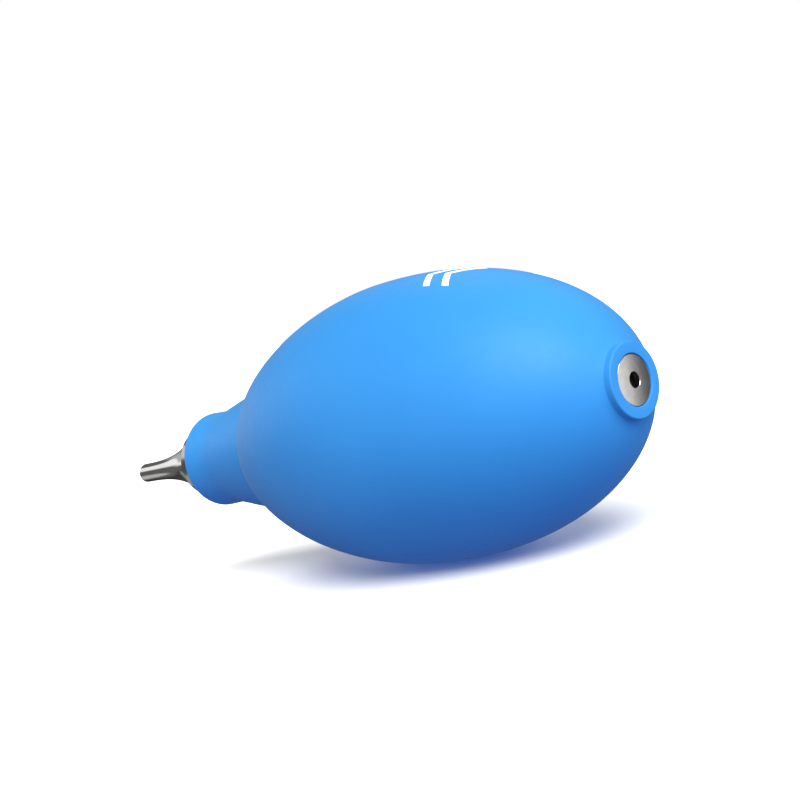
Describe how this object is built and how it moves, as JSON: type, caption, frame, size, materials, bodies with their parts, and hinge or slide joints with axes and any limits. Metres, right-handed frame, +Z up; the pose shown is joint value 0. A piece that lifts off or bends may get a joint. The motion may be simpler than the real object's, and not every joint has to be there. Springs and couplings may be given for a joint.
{
  "type": "squeeze bulb air blower",
  "caption": "Hand-squeezed silicone bulb air blower with a flared steel nozzle and a one-way air inlet in a steel disc at the other end.",
  "frame": {"origin": "on the surface the bulb lies on, under the middle of the overall length", "axes": "+X along the bulb's axis from the nozzle towards the air inlet, +Z up, the flexing walls on -Y (left) and +Y (right)"},
  "size_m": [0.1372, 0.05, 0.05],
  "materials": {
    "blue_silicone": "satin moulded silicone, velvety, mid blue",
    "polished_steel": "turned and polished stainless steel",
    "brushed_steel": "satin turned stainless steel",
    "black_rubber": "matte black rubber",
    "white_plastic": "moulded off-white plastic",
    "filter_foam": "dark grey open-cell filter foam",
    "spring_steel": "bright spring wire"
  },
  "bodies": {
    "bulb": {"bulb_body": "blue_silicone", "neck_insert": "polished_steel", "inlet_plate": "brushed_steel", "valve_body": "white_plastic", "dust_filter": "filter_foam", "valve_cage": "white_plastic", "valve_spring": "spring_steel"},
    "wall_left": {"bulb_wall_left": "blue_silicone"},
    "wall_right": {"bulb_wall_right": "blue_silicone"},
    "valve": {"valve_disc": "black_rubber"},
    "seal": {"nozzle_seal": "black_rubber"},
    "nozzle": {"nozzle": "polished_steel"}
  },
  "joints": [
    {"name": "squeeze_left", "type": "slide", "parent": "bulb", "child": "wall_left", "axis": [0, 1, 0], "range_m": [0, 0.01], "stiffness_N_per_m": 1200},
    {"name": "squeeze_right", "type": "slide", "parent": "bulb", "child": "wall_right", "axis": [0, -1, 0], "range_m": [0, 0.01], "stiffness_N_per_m": 1200},
    {"name": "valve_lift", "type": "slide", "parent": "bulb", "child": "valve", "axis": [-1, 0, 0], "range_m": [0, 0.0012], "stiffness_N_per_m": 20, "springref_m": -0.001, "deforming": ["valve_spring"]},
    {"name": "nozzle_advance", "type": "slide", "parent": "bulb", "child": "seal", "axis": [-1, 0, 0], "range_m": [0, 0.004]},
    {"name": "nozzle_unscrew", "type": "hinge", "parent": "seal", "child": "nozzle", "pos_m": [-0.06, 0, 0.025], "axis": [-1, 0, 0], "range_deg": [0, 1440]}
  ],
  "couplings": [
    {"joint": "squeeze_right", "follows": "squeeze_left", "ratio": 1},
    {"joint": "nozzle_unscrew", "follows": "nozzle_advance", "rad_per_m": 6283.2}
  ]
}
